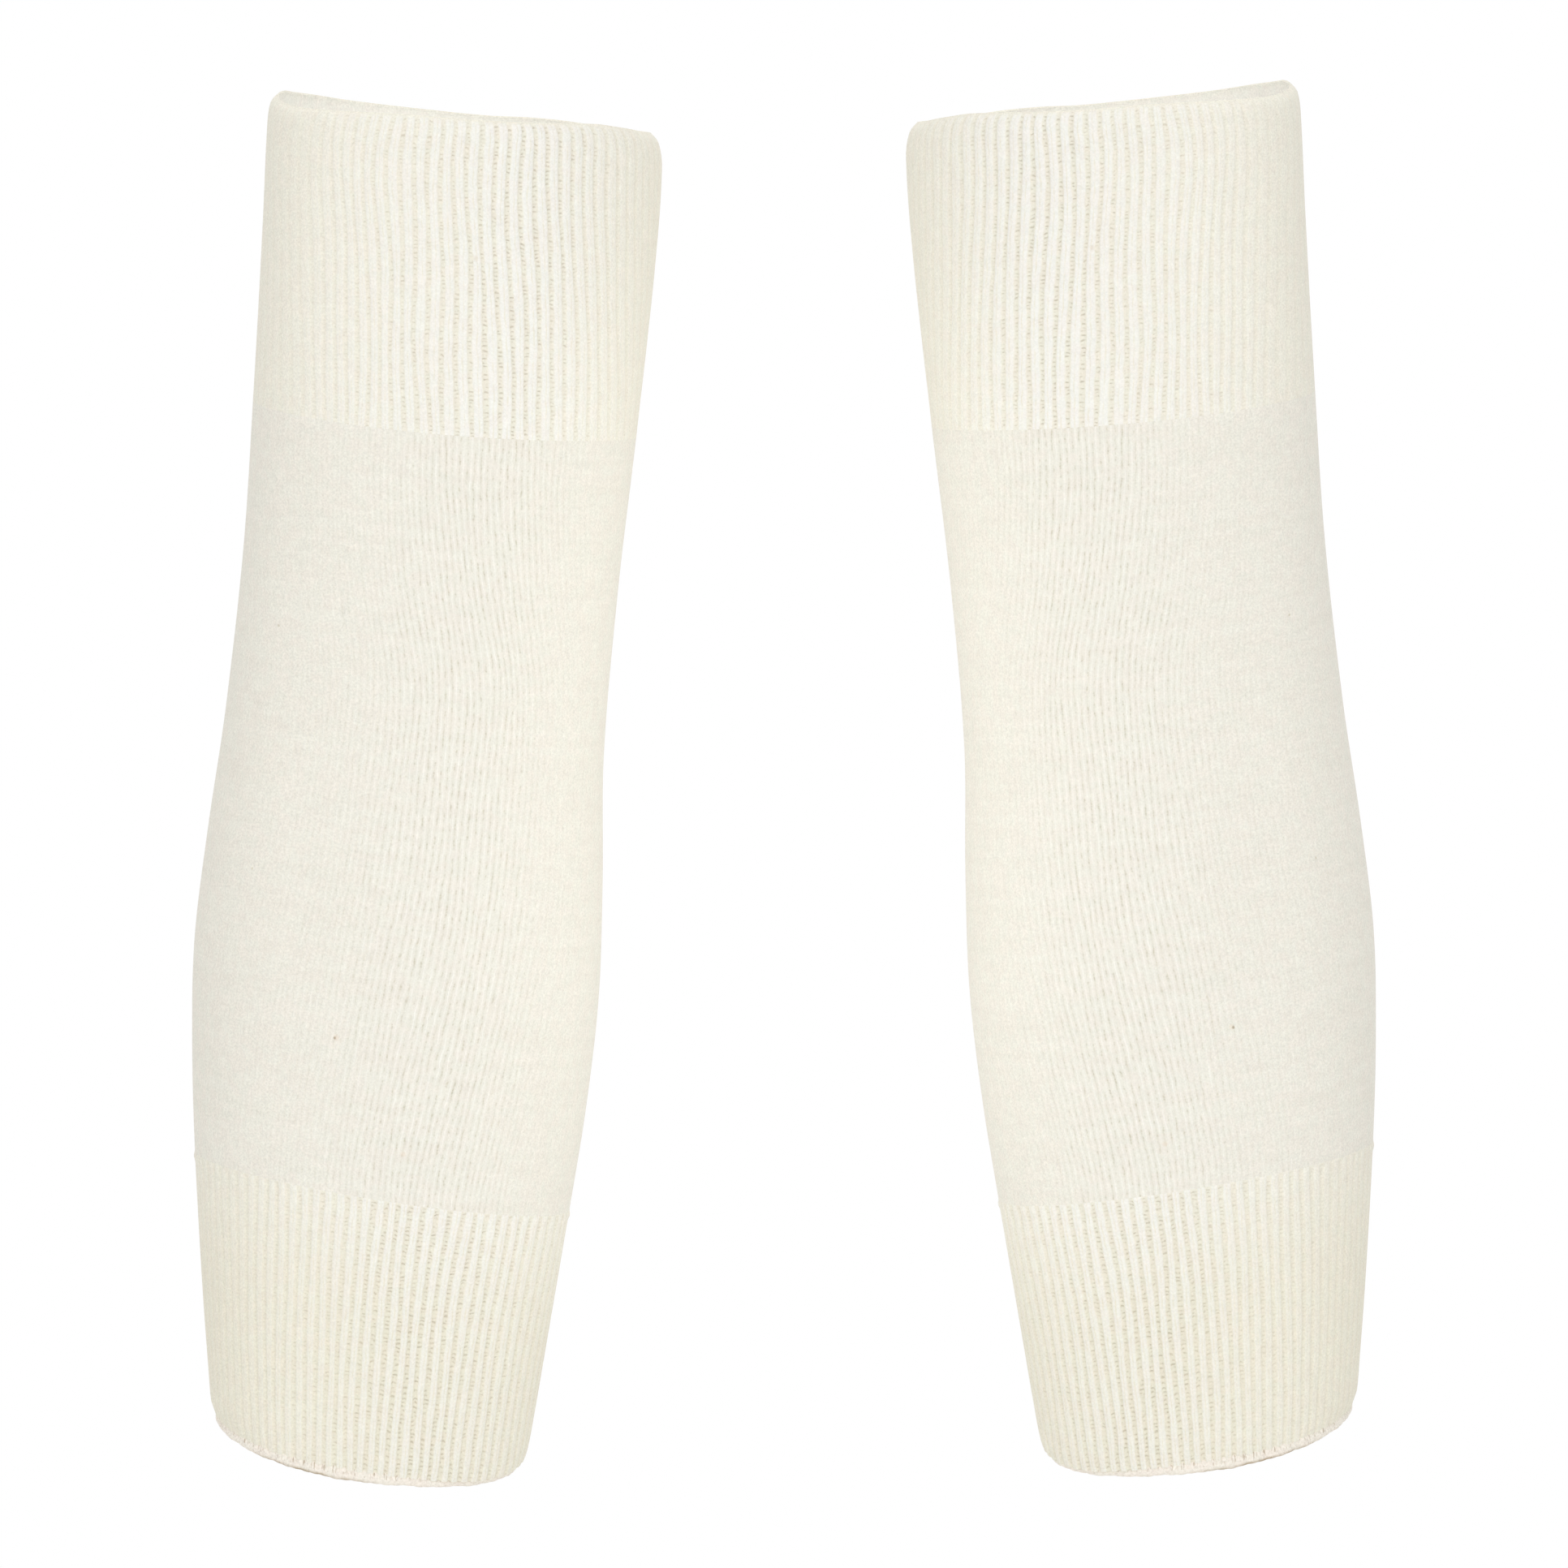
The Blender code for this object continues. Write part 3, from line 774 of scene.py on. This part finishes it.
def makeBody(side, materials):
    start, end = plainBody["start"], plainBody["end"]
    downs = np.concatenate(((start, start + 0.9), np.linspace(start + 2.4, end - 2.0, plainBody["rows"]),
                            (end - 0.8, end)))
    even = smooth(np.minimum(downs - start, end - downs) / 3.0)
    shares = columnShares(len(downs), even)
    form = layOut(downs, shares, 2)
    wale = np.abs(shares * tube["ribs"] * 2 - np.round(shares * tube["ribs"] * 2)) * 2
    insets = form["fold"] + plainBody["waleRelief"] * smooth(wale) * form["clear"] * even[:, None]
    piece = sheetPiece(f"{side['name']}_body_knit", side, form, shares, insets,
                       np.zeros(shares.shape), materials)
    thicken(piece, tube["wall"])
    declare(piece, f"{side['name']}_body")
    return piece


lowerCuff = {
    "start": plainBody["end"], "end": 290.6,
    "rows": 36,
    "flat": (0.232, 0.056),
    "headHeight": 0.30,    # how far the head of each rib stands out
    "roundFrom": 4.5,      # the hem's outer side rounds in from this far up
    "roundBy": 0.7,
}


def onOuterSide(form):
    return smooth((form["sideways"] - 0.55) / 0.40)


def makeLowerCuff(side, materials):
    start, end = lowerCuff["start"], lowerCuff["end"]
    downs = np.concatenate(((start, start + 0.35, start + 0.8, start + 1.4, start + 2.2),
                            np.linspace(start + 3.6, end - 1.4, lowerCuff["rows"]),
                            (end - 0.7, end)))
    shares = columnShares(len(downs), 0.0)
    form = layOut(downs, shares, 3)
    fade = smooth((downs - start) / 1.3)
    insets = ribInsets(form, shares, fade)
    head = lowerCuff["headHeight"] * np.exp(-((downs - start - 1.1) / 0.8) ** 2)
    insets -= head[:, None] * smooth(1.0 - ribPhase(shares) / 0.36)
    rounded = smooth((downs - end + lowerCuff["roundFrom"]) / lowerCuff["roundFrom"])[:, None]
    insets += lowerCuff["roundBy"] * rounded ** 2 * onOuterSide(form)
    piece = sheetPiece(f"{side['name']}_lower_cuff_knit", side, form, shares, insets,
                       np.zeros(shares.shape), materials)
    thicken(piece, tube["wall"])
    declare(piece, f"{side['name']}_lower_cuff")
    return piece


rolled = {
    "middle": 291.3,       # distance below the middle of the top rim
    "inset": 0.85,         # and under the outside of the crowns
    "halfThick": 1.20,
    "halfHigh": 1.50,
    "corners": 14,         # round its section
    "stitchLump": 0.07,    # each stitch's loop stands this far out
    "slackLump": 0.12,     # slower thick and thin places
    "tuck": 0.7,           # how far it is rolled under on the inner side
    "outerTuck": 0.3,      # and on the outer side
}


def makeRolledEdge(side, material):
    turns = np.linspace(0.0, 2.0 * math.pi, rolled["corners"] + 1)
    downs = rolled["middle"] - rolled["halfHigh"] * np.sin(turns)
    shares = columnShares(len(downs), 1.0)
    form = layOut(np.full(len(downs), rolled["middle"]), shares, 3)
    form["along"] = rolled["halfHigh"] * turns
    around = 2.0 * math.pi * shares
    lump = (rolled["stitchLump"] * np.abs(np.cos(around * tube["ribs"] / 2 + turns[:, None]))
            + rolled["slackLump"] * (np.sin(around * 7 + 1.3) + np.sin(around * 17 + 4.0)
                                     + np.sin(around * 29 + 2.2)) / 3)
    tuck = smooth((-0.05 - form["sideways"]) / 0.65)
    radius = 1.0 + lump - 0.15 * tuck
    rounded = (lowerCuff["roundBy"] + rolled["outerTuck"]) * onOuterSide(form)
    insets = rolled["inset"] + rounded + rolled["tuck"] * tuck
    insets = insets - rolled["halfThick"] * np.cos(turns)[:, None] * radius
    lifts = rolled["halfHigh"] * np.sin(turns)[:, None] * radius + 0.5 * tuck
    piece = sheetPiece(f"{side['name']}_rolled_edge", side, form, shares, insets, lifts, [material])
    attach(piece, "root")
    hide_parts(f"{side['name']}_lower_edge")
    return piece


ribWool, plainWool, innerWool, edgeWool = ribKnit(), plainKnit(), insideKnit(), rolledEdge()
print("materials made")
for side in sides:
    edge = makeRolledEdge(side, edgeWool)
    makeUpperCuff(side, [ribWool, innerWool])
    makeBody(side, [plainWool, innerWool])
    makeLowerCuff(side, [ribWool, innerWool])
    print(side["name"], "warmer knitted")

studio = {
    "distance": 2.2, "elevation": 6.0, "aim": (0.0, 0.0, -0.14825),
    "pixel": 0.1775 * mm,        # size of one pixel of the photo at the warmers
    "pixels": 1932, "sensor": 36.0,
    "background": 1.0,           # what the camera sees behind the warmers
    "around": 1.29,              # white light from the front, the back, above and below
    "flags": -0.82,              # black flags at both sides, which draw the outlines
    "floor": -0.75,              # out of the photo's view
}

# The two strips in the gap between the warmers light their inner sides
softboxes = (
    # name, watts, width, height, place, aim
    ("front strip", 0.024, 0.12, 0.30, (0.0, -0.22, -0.18), (0.0, 0.5, -0.18)),
    ("gap strip left", 0.0088, 0.03, 0.19, (0.0, -0.03, -0.155), (-0.5, -0.03, -0.155)),
    ("gap strip right", 0.0088, 0.03, 0.19, (0.0, -0.03, -0.155), (0.5, -0.03, -0.155)),
)

# The thin wool lets light through, which brightens the inside of each tube
insideGlow = {"watts": 0.0185, "radius": 0.018, "out": 0.074, "height": -0.028}


def makeCamera():
    lens = studio["sensor"] * studio["distance"] / (studio["pixel"] * studio["pixels"])
    rise = math.radians(studio["elevation"])
    data = bpy.data.cameras.new("photo camera")
    data.sensor_width = studio["sensor"]
    data.lens = lens
    camera = bpy.data.objects.new("photo camera", data)
    away = Vector((0, -math.cos(rise), math.sin(rise)))
    camera.location = Vector(studio["aim"]) + studio["distance"] * away
    camera.rotation_euler = (math.pi / 2 - rise, 0, 0)
    bpy.context.scene.collection.objects.link(camera)
    bpy.context.scene.camera = camera


def makeLights():
    world = bpy.data.worlds.new("white studio")
    bpy.context.scene.world = world
    world.use_nodes = True
    tree = world.node_tree
    tree.nodes.clear()
    ray = addNode(tree, "ShaderNodeLightPath").outputs["Is Camera Ray"]
    direction = addNode(tree, "ShaderNodeSeparateXYZ", None, {
        "Vector": addNode(tree, "ShaderNodeTexCoord").outputs["Generated"]})
    sideways = addNode(tree, "ShaderNodeMath", {"operation": "POWER"}, {
        0: addNode(tree, "ShaderNodeMath", {"operation": "ABSOLUTE"}, {0: direction.outputs["X"]}),
        1: 2.0})
    flagged = addNode(tree, "ShaderNodeMath", multiplyAdd, {
        0: sideways, 1: studio["flags"], 2: studio["around"]})
    strength = addNode(tree, "ShaderNodeMix", {"data_type": "FLOAT"}, {
        "Factor": ray, "A": flagged, "B": studio["background"]})
    light = addNode(tree, "ShaderNodeBackground", None, {"Color": (1, 1, 1, 1), "Strength": strength})
    addNode(tree, "ShaderNodeOutputWorld", None, {"Surface": light})
    for name, watts, width, height, place, aim in softboxes:
        data = bpy.data.lights.new(name, "AREA")
        data.energy = watts
        data.shape = "RECTANGLE"
        data.size, data.size_y = width, height
        lamp = bpy.data.objects.new(name, data)
        lamp.location = place
        lamp.rotation_euler = (Vector(aim) - Vector(place)).to_track_quat("-Z", "Y").to_euler()
        lamp.visible_camera = False
        bpy.context.scene.collection.objects.link(lamp)
    for side in sides:
        data = bpy.data.lights.new(f"{side['name']} inner glow", "POINT")
        data.energy = insideGlow["watts"]
        data.shadow_soft_size = insideGlow["radius"]
        lamp = bpy.data.objects.new(data.name, data)
        lamp.location = (side["sign"] * insideGlow["out"], 0.0, insideGlow["height"])
        lamp.visible_camera = False
        bpy.context.scene.collection.objects.link(lamp)


def makeFloor():
    floor = bmesh.new()
    bmesh.ops.create_grid(floor, x_segments=4, y_segments=4, size=1.5,
                          matrix=Matrix.Translation((0, 0, studio["floor"])))
    data = bpy.data.meshes.new("floor")
    floor.to_mesh(data)
    floor.free()
    material, tree = newMaterial("matt white paper")
    shader = addNode(tree, "ShaderNodeBsdfPrincipled", None, {
        "Base Color": colour("#F4F4F2"), "Roughness": 0.9})
    addNode(tree, "ShaderNodeOutputMaterial", None, {"Surface": shader})
    data.materials.append(material)
    piece = bpy.data.objects.new("floor", data)
    bpy.context.scene.collection.objects.link(piece)


makeCamera()
makeLights()
makeFloor()
bpy.context.scene.view_settings.view_transform = "Standard"
print("studio set")
